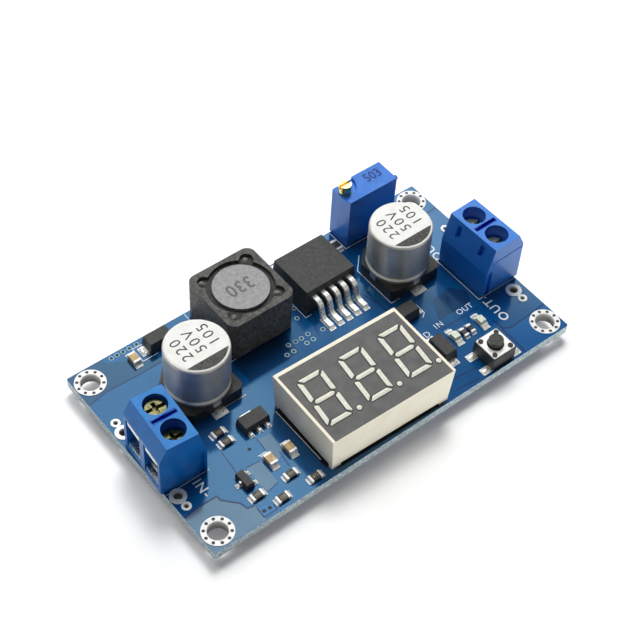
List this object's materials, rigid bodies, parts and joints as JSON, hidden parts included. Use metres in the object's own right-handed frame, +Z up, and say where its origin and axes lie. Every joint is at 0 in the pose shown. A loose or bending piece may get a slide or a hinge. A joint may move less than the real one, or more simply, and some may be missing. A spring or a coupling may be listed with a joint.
{
  "type": "boost converter module",
  "caption": "Blue circuit board that steps a voltage up, with screw terminals, coil, regulator, capacitors, trimmer, push button and a seven-segment voltmeter display",
  "frame": {"origin": "centre of the four mounting holes on the underside of the board", "axes": "+X from the input terminal to the output terminal along the board, +Y from the display to the regulator, +Z up out of the component side"},
  "size_m": [0.069, 0.0378, 0.0144],
  "materials": {
    "board_blue": "glossy blue solder mask on glass-fibre board",
    "tin": "bright tin",
    "terminal_blue": "moulded blue plastic",
    "contact_metal": "tinned metal strip",
    "zinc_screw": "yellow zinc plating",
    "black_plastic": "moulded black plastic",
    "can_aluminium": "drawn aluminium",
    "ferrite": "sintered dark ferrite",
    "ferrite_core": "sintered grey ferrite",
    "copper": "enamelled wire",
    "glue": "dark adhesive",
    "mould_black": "moulded resin",
    "trimmer_blue": "moulded blue plastic",
    "brass": "bare brass",
    "display_ivory": "ivory housing with a grey printed face",
    "segment_milk": "milky light pipes",
    "resin": "cast resin",
    "cover_steel": "stamped steel",
    "plunger_black": "moulded black plastic",
    "lamp_white": "white base plate",
    "lamp_lens": "clear resin",
    "chip_black": "black glaze",
    "chip_brown": "brown ceramic"
  },
  "bodies": {
    "board": {"circuit_board": "board_blue", "mounting_rings": "tin", "wire_hole_rings": "tin", "solder_pads": "tin", "solder_joints": "tin", "input_terminal_housing": "terminal_blue", "input_terminal_contacts": "contact_metal", "output_terminal_housing": "terminal_blue", "output_terminal_contacts": "contact_metal", "input_capacitor_base": "black_plastic", "input_capacitor_can": "can_aluminium", "input_capacitor_leads": "tin", "output_capacitor_base": "black_plastic", "output_capacitor_can": "can_aluminium", "output_capacitor_leads": "tin", "coil_shield": "ferrite", "coil_core": "ferrite_core", "coil_winding": "copper", "coil_glue": "glue", "coil_terminals": "tin", "regulator_body": "mould_black", "regulator_tab": "tin", "regulator_leads": "tin", "trimmer_housing": "trimmer_blue", "trimmer_pins": "tin", "display_housing": "display_ivory", "display_segments": "segment_milk", "display_resin": "resin", "display_pins": "tin", "button_base": "black_plastic", "button_cover": "cover_steel", "button_dome": "cover_steel", "button_terminals": "tin", "lamp_bases": "lamp_white", "lamp_lenses": "lamp_lens", "chip_resistors": "chip_black", "chip_resistor_ends": "tin", "chip_capacitors": "chip_brown", "chip_capacitor_ends": "tin", "small_regulator_body": "mould_black", "small_regulator_leads": "tin", "transistor_body": "mould_black", "transistor_leads": "tin", "diode_bodies": "mould_black", "diode_leads": "tin", "controller_body": "mould_black", "controller_leads": "tin"},
    "input_clamp_front_body": {"input_clamp_front": "contact_metal"},
    "input_screw_front_body": {"input_screw_front": "zinc_screw"},
    "input_clamp_back_body": {"input_clamp_back": "contact_metal"},
    "input_screw_back_body": {"input_screw_back": "zinc_screw"},
    "output_clamp_front_body": {"output_clamp_front": "contact_metal"},
    "output_screw_front_body": {"output_screw_front": "zinc_screw"},
    "output_clamp_back_body": {"output_clamp_back": "contact_metal"},
    "output_screw_back_body": {"output_screw_back": "zinc_screw"},
    "plunger": {"button_plunger": "plunger_black"},
    "adjuster": {"trimmer_screw": "brass"}
  },
  "joints": [
    {"name": "input_clamp_front_slide", "type": "slide", "parent": "board", "child": "input_clamp_front_body", "axis": [0, 0, -1], "range_m": [-0.0015, 0.0005]},
    {"name": "input_screw_front_turn", "type": "hinge", "parent": "input_clamp_front_body", "child": "input_screw_front_body", "pos_m": [-0.0303, -0.00416, 0.008], "axis": [0, 0, -1], "range_deg": [-1082, 362]},
    {"name": "input_clamp_back_slide", "type": "slide", "parent": "board", "child": "input_clamp_back_body", "axis": [0, 0, -1], "range_m": [-0.00025, 0.00175]},
    {"name": "input_screw_back_turn", "type": "hinge", "parent": "input_clamp_back_body", "child": "input_screw_back_body", "pos_m": [-0.0299, 0.00082, 0.008], "axis": [0, 0, -1], "range_deg": [-182, 1262]},
    {"name": "output_clamp_front_slide", "type": "slide", "parent": "board", "child": "output_clamp_front_body", "axis": [0, 0, -1], "range_m": [-0.00175, 0.00025]},
    {"name": "output_screw_front_turn", "type": "hinge", "parent": "output_clamp_front_body", "child": "output_screw_front_body", "pos_m": [0.03073, -0.0038, 0.008], "axis": [0, 0, -1], "range_deg": [-1262, 182]},
    {"name": "output_clamp_back_slide", "type": "slide", "parent": "board", "child": "output_clamp_back_body", "axis": [0, 0, -1], "range_m": [-0.00175, 0.00025]},
    {"name": "output_screw_back_turn", "type": "hinge", "parent": "output_clamp_back_body", "child": "output_screw_back_body", "pos_m": [0.03057, 0.0012, 0.008], "axis": [0, 0, -1], "range_deg": [-1262, 182]},
    {"name": "button_press", "type": "slide", "parent": "board", "child": "plunger", "axis": [0, 0, -1], "range_m": [0, 0.00025], "stiffness_N_per_m": 6400, "deforming": ["button_dome"]},
    {"name": "trimmer_turn", "type": "hinge", "parent": "board", "child": "adjuster", "pos_m": [0.0178, 0.01755, 0.011], "axis": [0, 0, 1], "continuous": true}
  ],
  "couplings": [
    {"joint": "input_screw_front_turn", "follows": "input_clamp_front_slide", "rad_per_m": 12566},
    {"joint": "input_screw_back_turn", "follows": "input_clamp_back_slide", "rad_per_m": 12566},
    {"joint": "output_screw_front_turn", "follows": "output_clamp_front_slide", "rad_per_m": 12566},
    {"joint": "output_screw_back_turn", "follows": "output_clamp_back_slide", "rad_per_m": 12566}
  ]
}
